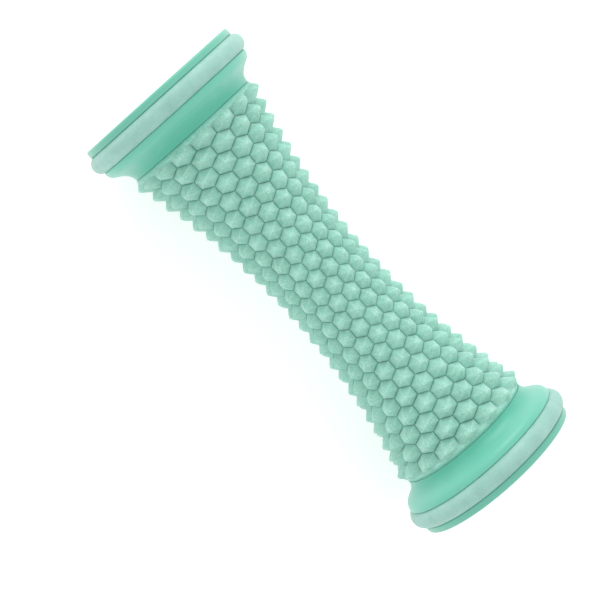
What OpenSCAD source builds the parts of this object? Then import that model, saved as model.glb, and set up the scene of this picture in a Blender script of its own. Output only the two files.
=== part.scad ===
// Foot massage roller: a waisted soft sleeve with honeycomb nodules on a rigid,
// flanged spool.  The roller lies along X with its origin at the centre of its axis.
// "left" is the -X end and "right" is the +X end.  Millimetres throughout.

/* [Roller] */
// Overall length, end face to end face
roller_len = 165; // [160:1:175]
// Diameter over the crowned rim tyres
rim_d = 63.4; // [63:0.2:66]
// Diameter of the end bezel and of the collar's shoulder
shoulder_d = 59.4; // [59:0.2:60]

/* [Massage sleeve] */
// Diameter over the nodules at the waist
waist_d = 34; // [33.6:0.2:36]
// Diameter over the nodules at the outermost ring
mouth_d = 51.2; // [50.6:0.2:51.8]
// Diameter of the plain lip at each end of the sleeve
lip_d = 48.8; // [48.6:0.2:50]
// Height of a nodule, as a share of the radius to its tip
nodule_share = 0.142; // [0.1:0.002:0.146]
// Rings of nodules along the sleeve (odd)
ring_count = 25; // [21:2:25]
// Nodules in one ring
ring_nodules = 16; // [14:1:18]
// Distance between neighbouring rings
ring_pitch = 5.17; // [4.8:0.01:5.18]
// Soft wall below the grooves
sleeve_wall = 2.4; // [2:0.1:2.5]

/* [Core] */
// Outside diameter of the steel core tube
tube_d = 19; // [18:0.5:19]
// Wall of the core tube
tube_wall = 1.5; // [1:0.1:2]
// Visible opening in the end bezel
opening_d = 42.8; // [42:0.2:43.2]
// How far the metal cap sits behind the end face
cap_recess = 1.2; // [0.8:0.1:1.6]

/* [Hidden] */
$fn = 96;

half_len = roller_len / 2;
tube_r = tube_d / 2;
tube_bore_r = tube_r - tube_wall;

// Stations along the axis, as distances inward from an end face.
bezel_t = 2.6;          // back of the bezel's plate, where the rim tyre starts
flange_e = 8.7;         // where the rim tyre ends and the collar starts
floor_e = 9;            // outer face of the hub's web
web_t = 3;              // thickness of that web
tube_e = floor_e + web_t;
sleeve_e = 17;          // where the collar ends and the sleeve starts
lip_t = 1.7;            // length of the plain lip at each end of the sleeve
spigot_e = 22;          // inner end of the hub's spigot
boss_e = 26;            // inner end of the hub's boss round the tube

// Radii shared by parts that fit one another.
seat_r = 26.6;          // tyre on hub
lock_r = 25.7;          // bottom of the tyre's locking groove
recess_r = 24.2;        // bezel's spigot in hub
cap_r = 22.6;           // cap in bezel's spigot
spigot_r = 18.2;        // hub's spigot in the core shell's mouth
boss_r = 12.5;
collar_foot_r = 23.7;   // collar where it meets the sleeve
edge = 0.5;             // small edge breaks
seam = 0.25;            // bevel on each side of the seams beside the rim tyre

// Ribs inside the hubs and the core shells.
rib_count = 8;
rib_t = 1.6;

// Sleeve stations measured from the roller's middle.
sleeve_half = half_len - sleeve_e;
lip_half = sleeve_half - lip_t;
last_ring = (ring_count - 1) / 2;
groove_half = ring_pitch / 3;   // half the length of a groove between two nodules of one ring
groove_end = lip_half - edge;   // the outermost grooves stop here, at the foot of the lip
step_a = 360 / ring_nodules;

// Radius over the nodules, and in the grooves between them, at a distance x from the middle.
function tip_r(x) =
    let (share = x / (last_ring * ring_pitch))
    waist_d / 2 + (mouth_d - waist_d) / 2 * share * share;
function groove_r(x) = tip_r(x) * (1 - nodule_share);

// Points along an arc from angle a to angle b, n steps.
function arc(cx, cy, r, a, b, n) =
    [for (i = [0:n]) let (t = a + (b - a) * i / n) [cx + r * cos(t), cy + r * sin(t)]];

// Points along a cubic Bezier, without its first point.
function bezier(p, n) =
    [for (i = [1:n]) let (t = i / n, s = 1 - t)
        s * s * s * p[0] + 3 * s * s * t * p[1] + 3 * s * t * t * p[2] + t * t * t * p[3]];

// ---- placing ----

// Children are modelled round +Z with z = 0 at the end face and +Z pointing inward.
module at_left() {
    translate([-half_len, 0, 0]) rotate([0, 90, 0]) children();
}

module at_right() {
    translate([half_len, 0, 0]) rotate([0, -90, 0]) children();
}

// Solid of revolution from [radius, station] points.
module turned(points) {
    rotate_extrude() polygon(points);
}

// Radial ribs between two radii, from station e0 to e1.
module rib_star(r0, r1, e0, e1) {
    for (i = [0:rib_count - 1])
        rotate([0, 0, i * 360 / rib_count])
            translate([r0, -rib_t / 2, e0]) cube([r1 - r0, rib_t, e1 - e0]);
}

// ---- massage sleeve ----

// Angle of nodule j in ring i; alternate rings are turned half a step.
function nodule_a(i, j) = (j + (i % 2 == 0 ? 0 : 0.5)) * step_a;

// A point at axial position x, radius r and angle a round the roller's axis from +Z.
function on_roller(x, r, a) = [x, r * sin(a), r * cos(a)];

function ring_x(i) = (i - last_ring) * ring_pitch;

// The skin's points, in blocks of ring_nodules:
// tips of every ring, then groove ends on the -X and the +X side of every ring.
sleeve_tips = [for (i = [0:ring_count - 1], j = [0:ring_nodules - 1])
    on_roller(ring_x(i), tip_r(ring_x(i)), nodule_a(i, j))];
function groove_ends(side) = [for (i = [0:ring_count - 1], j = [0:ring_nodules - 1])
    let (x = max(-groove_end, min(groove_end, ring_x(i) + side * groove_half)))
    on_roller(x, groove_r(x), nodule_a(i, j) + step_a / 2)];
// Rings of points round each plain lip: inner edge, bevel and outer edge.
function lip_ring(x, r) = [for (k = [0:2 * ring_nodules - 1]) on_roller(x, r, k * step_a / 2)];
function lip_rings(side) = concat(
    lip_ring(side * lip_half, lip_d / 2),
    lip_ring(side * (sleeve_half - edge), lip_d / 2),
    lip_ring(side * sleeve_half, lip_d / 2 - edge));
sleeve_points = concat(sleeve_tips, groove_ends(-1), groove_ends(1), lip_rings(-1), lip_rings(1));

ring_total = ring_count * ring_nodules;
lip_n = 2 * ring_nodules;
function wrap(j) = (j + ring_nodules) % ring_nodules;
function tip_id(i, j) = i * ring_nodules + wrap(j);
function end_id(side, i, j) = (side < 0 ? 1 : 2) * ring_total + i * ring_nodules + wrap(j);
function lip_id(block, k) = 3 * ring_total + block * lip_n + (k + lip_n) % lip_n;
// Index of the neighbour ring's groove end that touches nodule j of ring i.
function across(i, j) = i % 2 == 0 ? j - 1 : j;

// Corners of nodule j in ring i, going round it.  Where there is no neighbour ring the
// corner is three points of the lip.
function corners(i, j) =
    let (k = 2 * j + (i % 2 == 0 ? 0 : 1))
    concat(
        [end_id(1, i, j)],
        [end_id(-1, i, j)],
        i > 0 ? [end_id(1, i - 1, across(i, j))] : [lip_id(0, k + 1), lip_id(0, k), lip_id(0, k - 1)],
        [end_id(-1, i, j - 1)],
        [end_id(1, i, j - 1)],
        i < ring_count - 1 ? [end_id(-1, i + 1, across(i, j))]
            : [lip_id(3, k - 1), lip_id(3, k), lip_id(3, k + 1)]);

nodule_faces = [for (i = [0:ring_count - 1], j = [0:ring_nodules - 1])
    let (c = corners(i, j), n = len(c))
    for (k = [0:n - 1]) [tip_id(i, j), c[k], c[(k + 1) % n]]];
// Blocks 0 to 2 are the -X lip's rings and 3 to 5 the +X lip's, each from inner to outer.
lip_faces = [for (k = [0:lip_n - 1], b = [0, 1]) each [
    [lip_id(b, k), lip_id(b, k + 1), lip_id(b + 1, k + 1), lip_id(b + 1, k)],
    [lip_id(b + 3, k + 1), lip_id(b + 3, k), lip_id(b + 4, k), lip_id(b + 4, k + 1)]]];
end_faces = [
    [for (k = [0:lip_n - 1]) lip_id(2, k)],
    [for (k = [lip_n - 1:-1:0]) lip_id(5, k)]];

// Radius of the sleeve's bore, which is the outside of the core shells.
function shell_r(x) = groove_r(x) - sleeve_wall;

shell_steps = 12;
// [radius, x] points of the bore from the middle to x = sleeve_half.
shell_curve = [for (i = [0:shell_steps]) let (x = sleeve_half * i / shell_steps) [shell_r(x), x]];

module sleeve_bore() {
    past = 1;
    half = concat(shell_curve, [[shell_r(sleeve_half), sleeve_half + past], [0, sleeve_half + past], [0, 0]]);
    for (side = [90, -90]) rotate([0, side, 0]) turned(half);
}

module massage_sleeve() {
    color([0.59, 0.82, 0.73])
    difference() {
        polyhedron(sleeve_points, concat(nodule_faces, lip_faces, end_faces), convexity = 6);
        sleeve_bore();
    }
}

// ---- core ----

module core_tube() {
    color([0.72, 0.73, 0.75])
    at_left() translate([0, 0, tube_e]) difference() {
        cylinder(h = roller_len - 2 * tube_e, r = tube_r);
        translate([0, 0, -1]) cylinder(h = roller_len, r = tube_bore_r);
    }
}

lap_len = 4;        // overlap of the two shells at the waist
lap_r = 10.9;
bearing_half = 22;  // stretch at the waist where the shell grips the tube

shell_wall = 1.4;

// [radius, x] points just inside the shell from x0 to x1, sunk into its wall by a depth.
function inside_curve(x0, x1, sink) = [for (i = [0:shell_steps])
    let (x = x0 + (x1 - x0) * i / shell_steps) [shell_r(x) - shell_wall + sink, x]];

// Trumpet-shaped shell from the waist to the sleeve's mouth, along +Z from the middle.
module core_shell(lap_sign) {
    mouth = half_len - spigot_e;
    rib_end = half_len - boss_e;
    turned(concat(
        [[tube_r, -lap_sign * lap_len], [lap_r, -lap_sign * lap_len], [lap_r, 0]],
        shell_curve,
        [[spigot_r, sleeve_half], [spigot_r, mouth]],
        inside_curve(mouth, bearing_half, 0),
        [[tube_r, bearing_half]]));
    intersection() {
        rib_star(tube_r, spigot_r, bearing_half, rib_end);
        turned(concat(
            [[tube_r, bearing_half], [tube_r, rib_end]],
            inside_curve(rib_end, bearing_half, shell_wall / 2)));
    }
}

module left_core_shell() {
    color([0.36, 0.68, 0.58]) rotate([0, -90, 0]) core_shell(1);
}

module right_core_shell() {
    color([0.36, 0.68, 0.58]) rotate([0, 90, 0]) core_shell(-1);
}

// ---- hub: collar, tyre seat, web and boss ----

shoulder_r = shoulder_d / 2;
shoulder_fillet = 2.7;
shoulder_turn = 26.6;   // where the fillet runs into the cove
fillet_e = 9.2;         // station of the fillet's centre

// Collar from the shoulder down to the sleeve, as [radius, station].
collar_fillet = arc(shoulder_r - shoulder_fillet, fillet_e, shoulder_fillet, 0, 90 - shoulder_turn, 8);
fillet_end = collar_fillet[len(collar_fillet) - 1];
collar_cove = bezier([fillet_end, fillet_end + [-1.4, 0.7],
    [collar_foot_r, sleeve_e - 2.8], [collar_foot_r, sleeve_e - 0.7]], 10);

pocket = [18.5, 22.5];  // radii of the coring pocket behind the collar
pocket_e = 14.5;
lock_e = [4.9, 6.5];    // stations of the tyre's locking groove
screw_hole_r = 2.75;
spigot_wall = 2;

module hub() {
    wall_r = spigot_r - spigot_wall;
    difference() {
        turned(concat(
            [[screw_hole_r, floor_e], [recess_r, floor_e], [recess_r, bezel_t], [seat_r, bezel_t],
             [seat_r, lock_e[0]], [lock_r, lock_e[0]], [lock_r, lock_e[1]], [seat_r, lock_e[1]],
             [seat_r, flange_e], [shoulder_r - seam, flange_e], [shoulder_r, flange_e + seam]],
            collar_fillet, collar_cove,
            [[collar_foot_r, sleeve_e], [spigot_r, sleeve_e], [spigot_r, spigot_e], [wall_r, spigot_e],
             [wall_r, tube_e], [boss_r, tube_e], [boss_r, boss_e], [tube_r, boss_e],
             [tube_r, tube_e], [screw_hole_r, tube_e]]));
        difference() {
            turned([[pocket[0], floor_e - 1], [pocket[1], floor_e - 1], [pocket[1], pocket_e],
                [pocket[0], pocket_e]]);
            rib_star(pocket[0] - 1, pocket[1] + 1, floor_e - 2, pocket_e + 1);
        }
    }
    rib_star(boss_r - edge, wall_r + edge, tube_e - edge, spigot_e);
}

module left_hub() {
    color([0.45, 0.8, 0.69]) at_left() hub();
}

module right_hub() {
    color([0.45, 0.8, 0.69]) at_right() hub();
}

// ---- rim tyre ----

// Crowned band with a locking rib on its inside.
module rim_tyre() {
    rim_r = rim_d / 2;
    half_w = (flange_e - bezel_t) / 2;
    flank = rim_r - shoulder_r + seam;
    crown_r = (half_w * half_w + flank * flank) / (2 * flank);
    crown_a = asin(half_w / crown_r);
    turned(concat(
        [[seat_r, flange_e], [seat_r, lock_e[1]], [lock_r, lock_e[1]], [lock_r, lock_e[0]],
         [seat_r, lock_e[0]], [seat_r, bezel_t]],
        arc(rim_r - crown_r, bezel_t + half_w, crown_r, -crown_a, crown_a, 14)));
}

module left_rim_tyre() {
    color([0.64, 0.82, 0.76]) at_left() rim_tyre();
}

module right_rim_tyre() {
    color([0.64, 0.82, 0.76]) at_right() rim_tyre();
}

// ---- end bezel, cap and pad ----

cap_t = 0.8;

module end_bezel() {
    round_r = 0.7;
    turned(concat(
        [[opening_d / 2 + edge / 2, 0]],
        arc(shoulder_r - round_r, round_r, round_r, -90, 0, 5),
        [[shoulder_r, bezel_t - seam], [shoulder_r - seam, bezel_t], [recess_r, bezel_t], [recess_r, flange_e - edge], [recess_r - edge, flange_e],
         [cap_r, flange_e], [cap_r, cap_recess], [opening_d / 2, cap_recess],
         [opening_d / 2, edge / 2]]));
}

module left_end_bezel() {
    color([0.43, 0.78, 0.67]) at_left() end_bezel();
}

module right_end_bezel() {
    color([0.43, 0.78, 0.67]) at_right() end_bezel();
}

// Drawn metal cup: a flat polished face with a skirt that stands on the hub's web.
module core_cap() {
    bend = 0.6;
    turned(concat(
        [[0, cap_recess]],
        arc(cap_r - bend, cap_recess + bend, bend, -90, 0, 4),
        [[cap_r, floor_e], [cap_r - cap_t, floor_e], [cap_r - cap_t, cap_recess + cap_t],
         [0, cap_recess + cap_t]]));
}

module left_core_cap() {
    color([0.72, 0.45, 0.28]) at_left() core_cap();
}

module right_core_cap() {
    color([0.72, 0.45, 0.28]) at_right() core_cap();
}

washer_r = 6;
washer_t = 1;
head_r = 4.7;
head_h = 3.2;
screw_r = 2.5;
screw_len = 14;

// Foam ring that backs the cap.
module cap_pad() {
    pad_r = [washer_r + 1.5, pocket[0] - edge];
    translate([0, 0, cap_recess + cap_t]) difference() {
        cylinder(h = floor_e - cap_recess - cap_t, r = pad_r[1]);
        translate([0, 0, -1]) cylinder(h = floor_e, r = pad_r[0]);
    }
}

module left_cap_pad() {
    color([0.2, 0.2, 0.21]) at_left() cap_pad();
}

module right_cap_pad() {
    color([0.2, 0.2, 0.21]) at_right() cap_pad();
}

// ---- fixings between hub and tube ----

plug_len = 15;

// Threaded plug pressed into the end of the tube.
module tube_plug() {
    translate([0, 0, tube_e]) difference() {
        cylinder(h = plug_len, r = tube_bore_r);
        translate([0, 0, -1]) cylinder(h = plug_len + 2, r = screw_r);
    }
}

module left_tube_plug() {
    color([0.85, 0.84, 0.8]) at_left() tube_plug();
}

module right_tube_plug() {
    color([0.85, 0.84, 0.8]) at_right() tube_plug();
}

module hub_washer() {
    translate([0, 0, floor_e - washer_t]) difference() {
        cylinder(h = washer_t, r = washer_r);
        translate([0, 0, -1]) cylinder(h = washer_t + 2, r = screw_hole_r);
    }
}

module left_hub_washer() {
    color([0.75, 0.76, 0.78]) at_left() hub_washer();
}

module right_hub_washer() {
    color([0.75, 0.76, 0.78]) at_right() hub_washer();
}

// Pan-head screw with a cross recess.
module hub_screw() {
    seat = floor_e - washer_t;
    slot_w = 1.2;
    slot_len = 5.4;
    slot_deep = 1.6;
    head_round = 1;
    difference() {
        turned(concat(
            [[0, seat - head_h]],
            arc(head_r - head_round, seat - head_h + head_round, head_round, -90, 0, 4),
            [[head_r, seat], [screw_r, seat], [screw_r, seat + washer_t + web_t + screw_len - edge],
             [screw_r - edge, seat + washer_t + web_t + screw_len], [0, seat + washer_t + web_t + screw_len]]));
        for (turn = [0, 90])
            rotate([0, 0, turn])
                translate([-slot_len / 2, -slot_w / 2, seat - head_h - 1])
                    cube([slot_len, slot_w, slot_deep + 1]);
    }
}

module left_hub_screw() {
    color([0.6, 0.61, 0.63]) at_left() hub_screw();
}

module right_hub_screw() {
    color([0.6, 0.61, 0.63]) at_right() hub_screw();
}

massage_sleeve();
core_tube();
left_core_shell();
right_core_shell();
left_hub();
right_hub();
left_rim_tyre();
right_rim_tyre();
left_end_bezel();
right_end_bezel();
left_core_cap();
right_core_cap();
left_cap_pad();
right_cap_pad();
left_tube_plug();
right_tube_plug();
left_hub_washer();
right_hub_washer();
left_hub_screw();
right_hub_screw();
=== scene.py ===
import math

import bmesh
import bpy
import numpy as np
from mathutils import Matrix, Vector


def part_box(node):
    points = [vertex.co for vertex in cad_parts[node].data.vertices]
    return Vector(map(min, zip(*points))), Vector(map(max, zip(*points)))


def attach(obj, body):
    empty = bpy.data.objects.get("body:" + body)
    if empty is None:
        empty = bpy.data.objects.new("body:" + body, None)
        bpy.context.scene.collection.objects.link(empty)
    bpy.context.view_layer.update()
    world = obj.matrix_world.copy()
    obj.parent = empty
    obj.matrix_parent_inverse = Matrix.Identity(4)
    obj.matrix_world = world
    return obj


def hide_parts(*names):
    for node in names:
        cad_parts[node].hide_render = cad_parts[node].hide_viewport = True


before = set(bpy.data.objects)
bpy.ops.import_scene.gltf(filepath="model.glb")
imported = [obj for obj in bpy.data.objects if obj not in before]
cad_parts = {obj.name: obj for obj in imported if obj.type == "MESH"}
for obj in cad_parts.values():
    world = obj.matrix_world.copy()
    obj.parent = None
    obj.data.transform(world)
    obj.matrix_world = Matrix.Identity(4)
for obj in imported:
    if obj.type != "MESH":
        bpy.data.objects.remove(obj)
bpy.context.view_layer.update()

MM = 0.001
INWARD = {"left": 1.0, "right": -1.0}   # which way +X points from each end face

# ---------------------------------------------------------------- sizes from the frame
# Stations, ending in _e, are distances inward from an end face.

half_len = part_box("right_end_bezel")[1].x
rim_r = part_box("left_rim_tyre")[1].z
shoulder_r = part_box("left_end_bezel")[1].z
tyre_e = [half_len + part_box("left_rim_tyre")[k].x for k in (0, 1)]
bezel_e = half_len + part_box("left_end_bezel")[1].x
boss_e = half_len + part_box("left_hub")[1].x
cap_e = half_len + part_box("left_core_cap")[0].x
cap_foot_e = half_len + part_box("left_core_cap")[1].x
cap_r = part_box("left_core_cap")[1].z
sleeve_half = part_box("massage_sleeve")[1].x
sleeve_e = half_len - sleeve_half


# ---------------------------------------------------------------- profiles

def arc(centre_e, centre_r, radius, start, stop, steps):
    """Points (station, radius) on an arc; angles in degrees from the outward radial direction."""
    turns = [math.radians(start + (stop - start) * i / steps) for i in range(steps + 1)]
    return [(centre_e + radius * math.sin(a), centre_r + radius * math.cos(a)) for a in turns]


def bezier(p, steps):
    """Points on a cubic curve, without its first point."""
    out = []
    for i in range(1, steps + 1):
        t = i / steps
        w = ((1 - t) ** 3, 3 * t * (1 - t) ** 2, 3 * t * t * (1 - t), t ** 3)
        out.append(tuple(sum(w[k] * p[k][axis] for k in range(4)) for axis in (0, 1)))
    return out


def relaxed(points, passes):
    """The same line with its ends kept and every bend eased a little at each pass."""
    line = np.array(points)
    for _ in range(passes):
        line[1:-1] = (line[:-2] + 2 * line[1:-1] + line[2:]) / 4
    return [tuple(p) for p in line]


# ---------------------------------------------------------------- meshes

AXIS_R = 1e-9                   # a smaller radius counts as a point on the axis
WELD = 2e-6                     # points of the sleeve on one grid step of this size become one


def new_object(name, verts, faces, sharp_angle=40):
    mesh = bpy.data.meshes.new(name)
    mesh.from_pydata([tuple(v) for v in verts], [], [tuple(f) for f in faces])
    mesh.validate()
    for polygon in mesh.polygons:
        polygon.use_smooth = True
    mesh.set_sharp_from_angle(angle=math.radians(sharp_angle))
    obj = bpy.data.objects.new(name, mesh)
    bpy.context.scene.collection.objects.link(obj)
    return obj


def fix_normals(obj):
    bm = bmesh.new()
    bm.from_mesh(obj.data)
    bmesh.ops.recalc_face_normals(bm, faces=bm.faces)
    bm.to_mesh(obj.data)
    bm.free()


def without_repeats(loop):
    """The closed loop with no point twice in a row."""
    return [v for j, v in enumerate(loop) if v != loop[j - 1]]


def turned(name, profile, side, segments=192, sharp_angle=40):
    """Solid of revolution about X from (station, radius) points, stations measured inward
    from that side's end face.  A closed loop of points, or a line from axis to axis."""
    verts = []
    rows = []
    for station, radius in profile:
        x = INWARD[side] * (station - half_len)
        if radius < AXIS_R:
            rows.append([len(verts)] * segments)
            verts.append((x, 0.0, 0.0))
            continue
        rows.append(list(range(len(verts), len(verts) + segments)))
        for k in range(segments):
            a = 2 * math.pi * k / segments
            verts.append((x, radius * math.sin(a), radius * math.cos(a)))
    if profile[0][1] >= AXIS_R:
        rows.append(rows[0])
    faces = []
    for low, high in zip(rows, rows[1:]):
        for k in range(segments):
            n = (k + 1) % segments
            loop = [low[k], low[n], high[n], high[k]]
            if side == "right":
                loop.reverse()
            faces.append(without_repeats(loop))
    obj = new_object(name, verts, faces, sharp_angle)
    fix_normals(obj)
    return obj


def welded(points, faces):
    """The mesh with coinciding points made one, and faces that this flattens left out."""
    grid = np.round(points / WELD).astype(np.int64)
    keys, index = np.unique(grid, axis=0, return_inverse=True)
    merged = np.zeros((len(keys), 3))
    merged[index] = points
    loops = [without_repeats([int(index[v]) for v in face]) for face in faces]
    return merged, [loop for loop in loops if len(loop) > 2]


# ---------------------------------------------------------------- massage sleeve

RINGS = 25                      # rings of nodules along the sleeve
ROUND = 16                      # nodules in one ring
RING_PITCH = 5.17 * MM
NODULE_SHARE = 0.142            # nodule height as a share of its tip's radius
WAIST_TIP_R = 17.0 * MM         # radius over the nodules at the waist
MOUTH_TIP_R = 25.6 * MM         # the same at the outermost ring
SOFT_WALL = 2.4 * MM            # rubber below the grooves
LIP_R = 24.1 * MM
LIP_LEN = 1.7 * MM
LIP_FALL = 0.7 * MM             # how far the lip curves down to the seam
LIP_RAMP = 3.6 * MM             # fall of its inner side in the same length, down to the grooves
LIP_BLEND = 0.2 * MM            # how softly the nodules run into the lip
LIP_EDGE = 0.4 * MM             # height of the rounding at the seam
TIP_ROUND = 0.18                # how far from its centre a nodule's tip is rounded
SLOT_START = 0.95               # the fine groove between nodules starts here
SLOT_DEPTH = 0.06               # and is this much deeper, as a share of nodule height

PER_SIDE = 4                    # mesh steps along one side of a nodule's hexagon
LEVELS = [0.0, 0.06, 0.14, 0.26, 0.42, 0.60, 0.78, 0.90, 0.95, 0.975, 1.0]   # from tip to groove
BORE_STEPS = 24

# A nodule's corners, in thirds of the ring pitch along and half steps round the roller.
CORNERS = [(1, 1), (-1, 1), (-2, 0), (-1, -1), (1, -1), (2, 0)]

middle_ring = (RINGS - 1) // 2
far_ring = middle_ring * RING_PITCH
third = RING_PITCH / 3
skin_half = far_ring + 2 * third
step_a = 2 * math.pi / ROUND


def tip_radius(x):
    """Radius over the nodules' tips: the waisted outline is a parabola."""
    share = x / far_ring
    return WAIST_TIP_R + (MOUTH_TIP_R - WAIST_TIP_R) * share * share


def bore_radius(x):
    return tip_radius(x) * (1 - NODULE_SHARE) - SOFT_WALL


def depth_share(d):
    """How far below its tip a nodule's skin is, against distance d from tip (0) to groove (1)."""
    rounded = np.sqrt(d * d + TIP_ROUND ** 2) - TIP_ROUND
    full = math.sqrt(1 + TIP_ROUND ** 2) - TIP_ROUND
    slot = np.clip((d - SLOT_START) / (1 - SLOT_START), 0, 1)
    return rounded / full + SLOT_DEPTH * slot * slot * (3 - 2 * slot)


def smooth_max(a, b, width):
    """The larger of two values, blended over that width where they are close."""
    gap = np.clip(0.5 + 0.5 * (a - b) / width, 0, 1)
    return b + (a - b) * gap + width * gap * (1 - gap)


def lip_radius(x):
    """Plain lip at each end of the sleeve: steep on its inner side, easing down to the seam."""
    past = (np.abs(x) - (sleeve_half - LIP_LEN)) / LIP_LEN
    return LIP_R - np.where(past > 0, LIP_FALL * past * past, -LIP_RAMP * past)


def skin_radius(x, depth):
    """Skin radius at x for a given depth share, with the plain lips raised at both ends."""
    nodules = tip_radius(x) * (1 - NODULE_SHARE * depth)
    return smooth_max(nodules, lip_radius(x), LIP_BLEND)


def hexagon_point(k, share):
    """A point that share of the way along side k of a nodule's hexagon."""
    a, b = CORNERS[k], CORNERS[(k + 1) % 6]
    return (a[0] + (b[0] - a[0]) * share, a[1] + (b[1] - a[1]) * share)


def nodule_patch():
    """One nodule: its points (along, round, level), with hexagons of points round the tip,
    and its faces."""
    points = [(0.0, 0.0, 0.0)]
    for level in LEVELS[1:]:
        for k in range(6):
            for s in range(PER_SIDE):
                u, v = hexagon_point(k, s / PER_SIDE)
                points.append((u * level, v * level, level))
    around = 6 * PER_SIDE
    faces = [(0, 1 + k, 1 + (k + 1) % around) for k in range(around)]
    for i in range(len(LEVELS) - 2):
        inner = 1 + i * around
        outer = inner + around
        for k in range(around):
            n = (k + 1) % around
            faces.append((inner + k, outer + k, outer + n, inner + n))
    return np.array(points), faces


def gap_patch(side, j):
    """The groove-deep triangle between two outermost nodules and the end of the sleeve:
    its points (x, angle, level) in rows that grow towards the end."""
    points = []
    for row in range(PER_SIDE + 1):
        for col in range(row + 1):
            x = side * (skin_half - third + third * row / PER_SIDE)
            a = (j + 0.5) * step_a + step_a / PER_SIDE * (col - row / 2)
            points.append((x, a, 1.0))
    return np.array(points)


def row_start(row):
    """Index of the first point in a row of the triangle."""
    return row * (row + 1) // 2


def gap_faces():
    """The triangles of a gap patch."""
    faces = []
    for row in range(PER_SIDE):
        for col in range(row + 1):
            low = row_start(row) + col
            high = row_start(row + 1) + col
            faces.append((low, high, high + 1))
            if col < row:
                faces.append((low, high + 1, low + 1))
    return faces


def skin():
    """The sleeve's outside: points (x, angle, radius) and faces."""
    blocks = []
    faces = []

    def place(points, patch_faces):
        base = sum(len(block) for block in blocks)
        blocks.append(points)
        faces.extend(tuple(base + v for v in face) for face in patch_faces)

    patch, patch_faces = nodule_patch()
    for i in range(RINGS):
        x = (i - middle_ring) * RING_PITCH + patch[:, 0] * third
        for j in range(ROUND):
            turn = (j + (0.5 if i % 2 else 0.0)) * step_a
            a = turn + patch[:, 1] * step_a / 2
            place(np.stack([x, a, patch[:, 2]], axis=1), patch_faces)
    for side in (-1, 1):
        for j in range(ROUND):
            place(gap_patch(side, j), gap_faces())
    points = np.concatenate(blocks)
    points[:, 2] = skin_radius(points[:, 0], depth_share(points[:, 2]))
    return points, faces


def inner_rows():
    """Rings (x, radius) from one end of the skin round its edge, along the bore and out again."""
    end_r = float(skin_radius(np.array(skin_half), depth_share(np.array(1.0))))
    edge = [(skin_half, end_r)]
    for degrees in (30, 60, 90):
        a = math.radians(degrees)
        edge.append((skin_half + (sleeve_half - skin_half) * math.sin(a),
                     end_r - LIP_EDGE + LIP_EDGE * math.cos(a)))
    bore = [(x, bore_radius(x)) for x in np.linspace(sleeve_half, -sleeve_half, BORE_STEPS + 1)]
    return edge + bore + [(-x, r) for x, r in reversed(edge)]


def build_sleeve():
    """Nodules and lips outside, smooth bore inside, welded into one closed mesh."""
    points, faces = skin()
    base = len(points)
    count = ROUND * PER_SIDE
    rows = inner_rows()
    ring_points = [(x, k * step_a / PER_SIDE, r) for x, r in rows for k in range(count)]
    for i in range(len(rows) - 1):
        low = base + i * count
        high = low + count
        for k in range(count):
            n = (k + 1) % count
            faces.append((low + k, low + n, high + n, high + k))
    x, angle, radius = np.concatenate([points, np.array(ring_points)]).T
    places = np.stack([x, radius * np.sin(angle), radius * np.cos(angle)], axis=1)
    verts, faces = welded(places, faces)
    sleeve = new_object("honeycomb_sleeve", verts, faces, sharp_angle=75)
    fix_normals(sleeve)
    return sleeve


# ---------------------------------------------------------------- ends

# Fits between the pieces of an end, as in the CAD model.
SEAT_R = 26.6 * MM              # rim band on collar hub
LOCK_R = 25.7 * MM              # bottom of the groove that locks the band
LOCK_E = (4.9 * MM, 6.5 * MM)
RECESS_R = 24.2 * MM            # end ring's spigot in collar hub
SPIGOT_R = 18.2 * MM            # collar hub's spigot in the core shell
SPIGOT_WALL = 2.0 * MM
SPIGOT_E = 22.0 * MM            # and its inner end
BOSS_R = 12.5 * MM              # boss round the core tube
TUBE_R = 9.5 * MM
TUBE_E = 12.0 * MM              # outer end of the core tube
FLOOR_E = 9.0 * MM              # outer face of the collar hub's web
SCREW_HOLE_R = 2.75 * MM
OPENING_R = 21.4 * MM           # opening that shows the metal cap

# Shapes that show.
COLLAR_FOOT_R = 23.7 * MM       # collar where it meets the sleeve
FILLET = 2.7 * MM               # rounding of the collar's shoulder
FILLET_TURN = 63.4              # and how far round it goes, degrees
COVE_START = (0.7 * MM, 1.4 * MM)   # the cove's curve leaves the fillet this way, in and down
COVE_STOP = (2.8 * MM, 0.7 * MM)    # it levels out between these distances from the sleeve
COLLAR_EASING = 12              # easing passes over the whole flare
EDGE = 0.35 * MM                # small edge breaks
RING_CORNER = 0.8 * MM          # rounding of the end ring's outer edge
CAP_BEND = 0.6 * MM
CAP_WALL = 0.8 * MM
CAP_FACE_RINGS = (0.0, 0.3, 0.6, 0.85)   # mesh rings on the cap's flat face, shares of its radius


def rim_band(side):
    """Crowned soft band with a locking rib underneath."""
    start, stop = tyre_e
    middle = (start + stop) / 2
    half_w = (stop - start) / 2
    flank = rim_r - (shoulder_r - EDGE)
    crown_r = (half_w ** 2 + flank ** 2) / (2 * flank)
    crown_a = math.degrees(math.asin(half_w / crown_r))
    under = [(stop, SEAT_R), (LOCK_E[1], SEAT_R), (LOCK_E[1], LOCK_R),
             (LOCK_E[0], LOCK_R), (LOCK_E[0], SEAT_R), (start, SEAT_R)]
    crown = arc(middle, rim_r - crown_r, crown_r, -crown_a, crown_a, steps=20)
    return turned(side + "_rim_band", under + crown, side)


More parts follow.
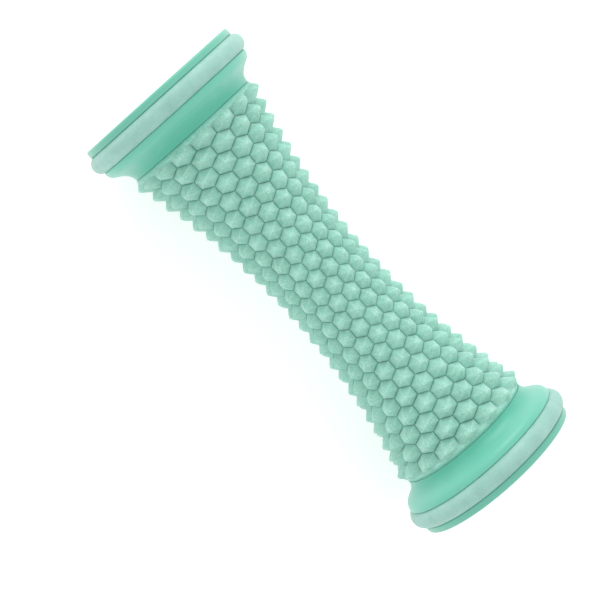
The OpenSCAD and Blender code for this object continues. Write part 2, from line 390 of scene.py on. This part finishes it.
def collar_flare():
    """The visible curve from the shoulder beside the rim band down to the sleeve."""
    flange = tyre_e[1]
    fillet = arc(flange + 2 * EDGE, shoulder_r - FILLET, FILLET, 0, FILLET_TURN, steps=12)
    turn_e, turn_r = fillet[-1]
    cove = bezier([(turn_e, turn_r),
                   (turn_e + COVE_START[0], turn_r - COVE_START[1]),
                   (sleeve_e - COVE_STOP[0], COLLAR_FOOT_R),
                   (sleeve_e - COVE_STOP[1], COLLAR_FOOT_R)], steps=20)
    return relaxed([(flange + EDGE, shoulder_r)] + fillet + cove, COLLAR_EASING)


def collar_hub(side):
    """Moulded end: web, boss and band seat inside, flared collar outside."""
    flange = tyre_e[1]
    wall_r = SPIGOT_R - SPIGOT_WALL
    inside = [(FLOOR_E, SCREW_HOLE_R), (FLOOR_E, RECESS_R),
              (tyre_e[0], RECESS_R), (tyre_e[0], SEAT_R),
              (LOCK_E[0], SEAT_R), (LOCK_E[0], LOCK_R),
              (LOCK_E[1], LOCK_R), (LOCK_E[1], SEAT_R),
              (flange, SEAT_R), (flange, shoulder_r - EDGE)]
    spigot = [(sleeve_e, COLLAR_FOOT_R), (sleeve_e, SPIGOT_R),
              (SPIGOT_E, SPIGOT_R), (SPIGOT_E, wall_r),
              (TUBE_E, wall_r), (TUBE_E, BOSS_R),
              (boss_e, BOSS_R), (boss_e, TUBE_R),
              (TUBE_E, TUBE_R), (TUBE_E, SCREW_HOLE_R)]
    return turned(side + "_collar", inside + collar_flare() + spigot, side)


def end_ring(side):
    """Flat ring round the metal cap, with a spigot that traps the rim band."""
    profile = [(0.0, OPENING_R + EDGE)]
    profile += arc(RING_CORNER, shoulder_r - RING_CORNER, RING_CORNER, -90, 0, steps=8)
    profile += [(tyre_e[0] - EDGE, shoulder_r), (tyre_e[0], shoulder_r - EDGE),
                (tyre_e[0], RECESS_R),
                (bezel_e - 2 * EDGE, RECESS_R), (bezel_e, RECESS_R - 2 * EDGE),
                (bezel_e, cap_r), (cap_e, cap_r),
                (cap_e, OPENING_R), (EDGE, OPENING_R)]
    return turned(side + "_end_ring", profile, side, sharp_angle=30)


def metal_cap(side):
    """Drawn metal cup with a flat brushed face."""
    profile = [(cap_e, share * cap_r) for share in CAP_FACE_RINGS]
    profile += arc(cap_e + CAP_BEND, cap_r - CAP_BEND, CAP_BEND, -90, 0, steps=6)
    profile += [(cap_foot_e, cap_r), (cap_foot_e, cap_r - CAP_WALL),
                (cap_e + CAP_WALL, cap_r - CAP_WALL), (cap_e + CAP_WALL, 0.0)]
    return turned(side + "_metal_cap", profile, side)


# ---------------------------------------------------------------- material nodes

NOISE_RANGE = (0.3, 0.7)        # a noise texture's values lie mostly between these
WHITE = (1.0, 1.0, 1.0)


def node_tree(name):
    material = bpy.data.materials.new(name)
    material.use_nodes = True
    tree = material.node_tree
    shader = tree.nodes["Principled BSDF"]
    return material, tree, shader


def add(tree, kind, **values):
    """A node of that kind, with its unlinked inputs set by name."""
    node = tree.nodes.new(kind)
    for key, value in values.items():
        node.inputs[key].default_value = value
    return node


def rgba(colour):
    """An opaque colour, or a number's grey level."""
    rgb = colour if isinstance(colour, tuple) else (colour,) * 3
    return (*rgb, 1.0)


def ramp(tree, factor, stops):
    """Colour or grey level that follows a factor through (position, colour or number) stops."""
    node = tree.nodes.new("ShaderNodeValToRGB")
    elements = node.color_ramp.elements
    while len(elements) < len(stops):
        elements.new(0.5)
    for element, (position, colour) in zip(elements, stops):
        element.position = position
        element.color = rgba(colour)
    tree.links.new(factor, node.inputs["Fac"])
    return node.outputs["Color"]


def spread(tree, factor, low, high):
    """Colour or grey level from low to high over a noise texture's usual values."""
    return ramp(tree, factor, [(NOISE_RANGE[0], low), (NOISE_RANGE[1], high)])


def srgb(red, green, blue):
    """Linear colour from 0-255 screen values."""
    def one(c):
        c /= 255
        return c / 12.92 if c <= 0.04045 else ((c + 0.055) / 1.055) ** 2.4
    return (one(red), one(green), one(blue))


def mix(tree, factor, a, b, blend="MIX"):
    """Two colours blended by a node's output; either colour may be an output too."""
    node = tree.nodes.new("ShaderNodeMix")
    node.data_type = "RGBA"
    node.blend_type = blend
    for socket, value in (("Factor", factor), ("A", a), ("B", b)):
        target = [s for s in node.inputs if s.name == socket and s.enabled][0]
        if isinstance(value, bpy.types.NodeSocket):
            tree.links.new(value, target)
        else:
            target.default_value = rgba(value)
    return [s for s in node.outputs if s.enabled][0]


def object_coords(tree):
    return add(tree, "ShaderNodeTexCoord").outputs["Object"]


def noise(tree, coords, scale, detail=3.0, roughness=0.55):
    node = add(tree, "ShaderNodeTexNoise", Scale=scale, Detail=detail, Roughness=roughness)
    tree.links.new(coords, node.inputs["Vector"])
    return node.outputs["Fac"]


def bump(tree, height, strength, distance, normal=None):
    node = add(tree, "ShaderNodeBump", Strength=strength, Distance=distance)
    tree.links.new(height, node.inputs["Height"])
    if normal is not None:
        tree.links.new(normal, node.inputs["Normal"])
    return node.outputs["Normal"]


def maths(tree, operation, first, second=0.0):
    """The result of one operation on numbers or nodes' outputs."""
    node = tree.nodes.new("ShaderNodeMath")
    node.operation = operation
    for socket, value in zip(node.inputs, (first, second)):
        if isinstance(value, bpy.types.NodeSocket):
            tree.links.new(value, socket)
        else:
            socket.default_value = value
    return node.outputs[0]


def squared(tree, value):
    return maths(tree, "MULTIPLY", value, value)


def split(tree, coords):
    node = add(tree, "ShaderNodeSeparateXYZ")
    tree.links.new(coords, node.inputs[0])
    return node.outputs


def axis_distance(tree, coords):
    """Distance from the roller's axis."""
    _, y, z = split(tree, coords)
    return maths(tree, "SQRT", maths(tree, "ADD", squared(tree, y), squared(tree, z)))


def nodule_depth(tree, coords):
    """0 on the nodules' tips, 1 where two nodules meet, a little more in the groove."""
    share = maths(tree, "DIVIDE", split(tree, coords)[0], far_ring)
    swell = maths(tree, "MULTIPLY", squared(tree, share), MOUTH_TIP_R - WAIST_TIP_R)
    tip = maths(tree, "ADD", swell, WAIST_TIP_R)
    skin_share = maths(tree, "DIVIDE", axis_distance(tree, coords), tip)
    return maths(tree, "DIVIDE", maths(tree, "SUBTRACT", 1.0, skin_share), NODULE_SHARE)


def scatter_light(shader, weight, radius, sheen):
    """Light that sinks into soft or moulded plastic, and a faint sheen at grazing angles."""
    shader.inputs["Subsurface Weight"].default_value = weight
    shader.inputs["Subsurface Radius"].default_value = radius
    shader.inputs["Subsurface Scale"].default_value = 1.0
    shader.inputs["Sheen Weight"].default_value = sheen
    shader.inputs["Sheen Roughness"].default_value = 0.5


# ---------------------------------------------------------------- materials

GROOVE_LEVEL = 0.8              # where the bottom of a nodule's side, depth 1, is on a ramp
SEAM_SHADE = [(0.965, 0.0), (0.99, 0.7)]   # painted shade at both seams: along the sleeve, as a share of half its length
CAP_EDGE_SHADE = [(0.965, 0.0), (0.995, 0.8)]   # painted shadow of the end ring's lip: out across the cap, as a share of the opening


def frosted_skin(tree, shader, coords, base, rough_low, rough_high, dust_and_glint):
    """Shared surface of the soft pieces: sandy grain, faint mottling, and fine pale specks,
    partly frost and partly painted glints, their strength given as a number or a node's output."""
    grain = noise(tree, coords, scale=2600.0, detail=2.0)
    speck = noise(tree, coords, scale=1700.0, detail=2.0, roughness=0.8)
    mottle = noise(tree, coords, scale=170.0)
    clouded = mix(tree, spread(tree, mottle, 0.0, 0.3), base, WHITE, "SOFT_LIGHT")
    # pale specks: partly frost, partly painted glints
    pale = maths(tree, "MULTIPLY", ramp(tree, speck, [(0.48, 0.0), (0.6, 1.0)]), dust_and_glint)
    dusted_and_glinting = mix(tree, pale, clouded, srgb(182, 218, 206))
    coarse = bump(tree, speck, strength=0.5, distance=0.10 * MM)
    fine = bump(tree, grain, strength=0.3, distance=0.06 * MM, normal=coarse)
    tree.links.new(dusted_and_glinting, shader.inputs["Base Color"])
    tree.links.new(spread(tree, grain, rough_low, rough_high), shader.inputs["Roughness"])
    tree.links.new(fine, shader.inputs["Normal"])


def nodule_rubber():
    """Frosted soft rubber, with painted light and shade: a little paler on the nodules' tips,
    darker in the grooves and at the two seams, and pale specks that are partly painted glints."""
    material, tree, shader = node_tree("soft_sleeve")
    coords = object_coords(tree)
    depth = maths(tree, "MULTIPLY", nodule_depth(tree, coords), GROOVE_LEVEL)
    # painted light and shade: a little paler on the tips, painted shade in the grooves
    base = ramp(tree, depth, [(0.0, srgb(140, 193, 177)), (0.4, srgb(136, 192, 175)),
                              (0.79, srgb(134, 193, 176)), (0.83, srgb(100, 162, 144))])
    # painted shade where the sleeve meets each collar
    along = maths(tree, "DIVIDE", maths(tree, "ABSOLUTE", split(tree, coords)[0]), sleeve_half)
    base = mix(tree, ramp(tree, along, SEAM_SHADE), base, srgb(104, 188, 166))
    # pale specks, partly painted glints, strongest on the nodules' tips
    dust_and_glint = ramp(tree, depth, [(0.1, 0.8), (0.7, 0.2)])
    frosted_skin(tree, shader, coords, base, rough_low=0.5, rough_high=0.66, dust_and_glint=dust_and_glint)
    scatter_light(shader, 0.75, (1.3 * MM, 2.4 * MM, 2.0 * MM), sheen=0.12)
    return material


def band_rubber():
    """The same rubber without nodules, a little greyer."""
    material, tree, shader = node_tree("rim_rubber")
    coords = object_coords(tree)
    cloud = noise(tree, coords, scale=60.0)
    base = spread(tree, cloud, srgb(137, 186, 173), srgb(144, 191, 179))
    frosted_skin(tree, shader, coords, base, rough_low=0.48, rough_high=0.6, dust_and_glint=0.15)
    scatter_light(shader, 0.35, (1.0 * MM, 1.8 * MM, 1.5 * MM), sheen=0.1)
    return material


def satin_plastic(name, deep, face, shade_r, light_r):
    """Moulded plastic with a satin skin; its colour deepens towards the small radius as painted
    shade, and lightens towards the large radius as painted light.
    """
    material, tree, shader = node_tree(name)
    coords = object_coords(tree)
    above = maths(tree, "SUBTRACT", axis_distance(tree, coords), shade_r)
    climb = maths(tree, "DIVIDE", above, light_r - shade_r)
    cloud = maths(tree, "MULTIPLY", noise(tree, coords, scale=45.0), 0.35)
    base = ramp(tree, maths(tree, "ADD", climb, cloud), [(0.12, deep), (0.7, face)])
    grain = noise(tree, coords, scale=1100.0)
    fine = bump(tree, grain, strength=0.12, distance=0.05 * MM)
    tree.links.new(base, shader.inputs["Base Color"])
    tree.links.new(spread(tree, grain, 0.28, 0.38), shader.inputs["Roughness"])
    tree.links.new(fine, shader.inputs["Normal"])
    scatter_light(shader, 0.15, (0.6 * MM, 1.4 * MM, 1.1 * MM), sheen=0.12)
    return material


def hidden_finish(name, scale, detail, low, high, rough_low, rough_high, relief):
    """Simple grained surface for a piece inside the roller."""
    material, tree, shader = node_tree(name)
    coords = object_coords(tree)
    grain = noise(tree, coords, scale, detail)
    fine = bump(tree, grain, strength=0.1, distance=relief)
    tree.links.new(spread(tree, grain, low, high), shader.inputs["Base Color"])
    tree.links.new(spread(tree, grain, rough_low, rough_high), shader.inputs["Roughness"])
    tree.links.new(fine, shader.inputs["Normal"])
    return material, shader


def plain_metal(name, colour, rough_low, rough_high):
    darker = tuple(0.8 * c for c in colour)
    material, shader = hidden_finish(name, 400.0, 4.0, darker, colour,
                                     rough_low, rough_high, 0.03 * MM)
    shader.inputs["Metallic"].default_value = 1.0
    return material


def plain_plastic(name, deep, face):
    return hidden_finish(name, 500.0, 3.0, deep, face, 0.5, 0.6, 0.05 * MM)[0]


COPPER_REFLECTION_BANDS = [                # painted reflection of bright and dark surroundings: height on the cap as a share of its radius, and colour
    (-0.80, srgb(90, 62, 40)),
    (-0.56, srgb(178, 148, 114)),
    (-0.34, srgb(252, 226, 186)),
    (-0.10, srgb(255, 252, 246)),
    (0.05, srgb(236, 228, 220)),
    (0.26, srgb(160, 126, 82)),
    (0.50, srgb(116, 78, 35)),
    (0.85, srgb(92, 58, 34)),
]


def copper_painted_reflection(tree, coords):
    """Painted reflection: dark, bright and warm bands across the cap's face, drifting a little
    from level.
    """
    wander = maths(tree, "SUBTRACT", noise(tree, coords, scale=40.0), 0.5)
    drift = maths(tree, "MULTIPLY", wander, 0.01)
    height = maths(tree, "DIVIDE", split(tree, coords)[2], 2 * cap_r)
    level = maths(tree, "ADD", maths(tree, "ADD", height, 0.5), drift)
    return ramp(tree, level, [(0.5 + share / 2, colour) for share, colour in COPPER_REFLECTION_BANDS])


def cap_copper():
    """Brushed copper with a painted reflection in bands, and a painted shadow line where it meets
    the end ring.
    """
    material, tree, shader = node_tree("cap_copper")
    coords = object_coords(tree)
    stretch = add(tree, "ShaderNodeMapping", Scale=(1.0, 0.03, 1.0))
    tree.links.new(coords, stretch.inputs["Vector"])
    brushing = noise(tree, stretch.outputs["Vector"], scale=2400.0, detail=2.0)
    scratches = spread(tree, brushing, 0.0, 0.12)
    # painted reflection bands, with brushing scratches over them
    brushed = mix(tree, scratches, copper_painted_reflection(tree, coords), srgb(120, 80, 48))
    radius = maths(tree, "DIVIDE", axis_distance(tree, coords), OPENING_R)
    # painted shadow line round the cap, under the end ring's lip
    base = mix(tree, ramp(tree, radius, CAP_EDGE_SHADE), brushed, srgb(36, 34, 26))
    fine = bump(tree, brushing, strength=0.15, distance=0.02 * MM)
    tree.links.new(base, shader.inputs["Base Color"])
    tree.links.new(spread(tree, brushing, 0.2, 0.3), shader.inputs["Roughness"])
    tree.links.new(fine, shader.inputs["Normal"])
    shader.inputs["Metallic"].default_value = 1.0
    shader.inputs["Anisotropic"].default_value = 0.4
    return material


# ---------------------------------------------------------------- pieces

def dress(obj, material):
    obj.data.materials.clear()
    obj.data.materials.append(material)


def finish(piece, material, slot, *nodes):
    dress(piece, material)
    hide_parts(*nodes)
    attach(piece, "root")


sleeve_skin = nodule_rubber()
rim_skin = band_rubber()
# painted shade in the collar's hollow beside the sleeve, lighter up to the shoulder
hub_skin = satin_plastic("hub_plastic", srgb(80, 181, 155), srgb(108, 194, 171),
                         COLLAR_FOOT_R, shoulder_r)
# painted shade on the end ring's flat face, painted highlight along its rounded outer edge
bezel_skin = satin_plastic("bezel_plastic", srgb(90, 168, 145), srgb(108, 187, 165),
                           shoulder_r - 1.5 * RING_CORNER, shoulder_r)
cap_skin = cap_copper()

finish(build_sleeve(), sleeve_skin, "soft_sleeve", "massage_sleeve")
for end in INWARD:
    finish(rim_band(end), rim_skin, "rim_rubber", end + "_rim_tyre")
    finish(collar_hub(end), hub_skin, "hub_plastic", end + "_hub")
    finish(end_ring(end), bezel_skin, "bezel_plastic", end + "_end_bezel")
    finish(metal_cap(end), cap_skin, "cap_copper", end + "_core_cap")

plated_steel = plain_metal("plated_steel", srgb(198, 200, 204), 0.25, 0.35)
HIDDEN = {                      # how the CAD nodes inside the roller end, and their materials
    "core_tube": plain_metal("tube_steel", srgb(190, 192, 196), 0.3, 0.45),
    "core_shell": plain_plastic("shell_plastic", srgb(88, 160, 138), srgb(98, 172, 149)),
    "cap_pad": plain_plastic("pad_foam", srgb(34, 34, 36), srgb(56, 56, 58)),
    "tube_plug": plain_plastic("plug_nylon", srgb(206, 203, 190), srgb(220, 217, 205)),
    "hub_washer": plated_steel,
    "hub_screw": plated_steel,
}
for name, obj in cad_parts.items():
    for ending, material in HIDDEN.items():
        if name.endswith(ending):
            dress(obj, material)


# ---------------------------------------------------------------- stage, light and camera

FLOOR_HALF = 6.0
FLOOR_GREY = 0.8
FLOOR_GLOW = 0.38               # lifts the floor's shadows, so that they stay soft and pale
KEY_PLACE = (-1.0, 0.65, 0.45)
KEY_SIZE = 0.9
KEY_POWER = 5.2
CAMERA_DISTANCE = 0.731         # from the roller's axis
CAMERA_TILT = 6.28              # towards the right end, degrees
CAMERA_PAN = 0.82               # towards -Y
CAMERA_ROLL = 48.02             # the roller's axis runs this far below the picture's horizontal
CAMERA_LEAN = 3.1               # round the roller's axis, towards -Y
FOCAL_PX = 2292.0
PICTURE_PX = 600.0
SENSOR_MM = 36.0


def build_floor():
    corners = [(-1, -1), (1, -1), (1, 1), (-1, 1)]
    verts = [(x * FLOOR_HALF, y * FLOOR_HALF, -rim_r) for x, y in corners]
    floor = new_object("floor", verts, [(0, 1, 2, 3)])
    material, _, shader = node_tree("floor_white")
    shader.inputs["Base Color"].default_value = rgba(FLOOR_GREY)
    shader.inputs["Roughness"].default_value = 0.9
    shader.inputs["Emission Color"].default_value = rgba(WHITE)
    shader.inputs["Emission Strength"].default_value = FLOOR_GLOW
    floor.data.materials.append(material)


def build_light():
    """White surroundings and one large soft lamp aimed at the roller."""
    world = bpy.data.worlds.new("studio")
    bpy.context.scene.world = world
    world.use_nodes = True
    background = world.node_tree.nodes["Background"]
    background.inputs["Color"].default_value = rgba(WHITE)
    background.inputs["Strength"].default_value = 1.0
    data = bpy.data.lights.new("key", "AREA")
    data.shape = "DISK"
    data.size = KEY_SIZE
    data.energy = KEY_POWER
    lamp = bpy.data.objects.new("key", data)
    lamp.location = KEY_PLACE
    lamp.rotation_euler = (-Vector(KEY_PLACE)).to_track_quat("-Z", "Y").to_euler()
    bpy.context.scene.collection.objects.link(lamp)
    bpy.context.scene.view_settings.view_transform = "Standard"


def build_camera():
    """Camera above the left end, looking down and a little towards the right end."""
    angles = (CAMERA_TILT, CAMERA_PAN, CAMERA_ROLL, CAMERA_LEAN)
    tilt, pan, roll, lean = (math.radians(a) for a in angles)
    forward = Vector((math.sin(tilt) * math.cos(pan), -math.sin(pan),
                      -math.cos(tilt) * math.cos(pan)))
    along = Vector((math.cos(tilt), 0.0, math.sin(tilt)))
    across = along.cross(forward)
    if across.y < 0:
        across = -across
    right = along * math.cos(roll) + across * math.sin(roll)
    up = across * math.cos(roll) - along * math.sin(roll)
    basis = Matrix((right, up, -forward)).transposed()
    lean_turn = Matrix.Rotation(lean, 3, "X")
    place = lean_turn @ Vector((-half_len, 0.0, CAMERA_DISTANCE))
    data = bpy.data.cameras.new("camera")
    data.sensor_width = SENSOR_MM
    data.lens = FOCAL_PX / PICTURE_PX * SENSOR_MM
    data.clip_start = 0.01
    camera = bpy.data.objects.new("camera", data)
    camera.matrix_world = Matrix.Translation(place) @ (lean_turn @ basis).to_4x4()
    bpy.context.scene.collection.objects.link(camera)
    bpy.context.scene.camera = camera


build_floor()
build_light()
build_camera()
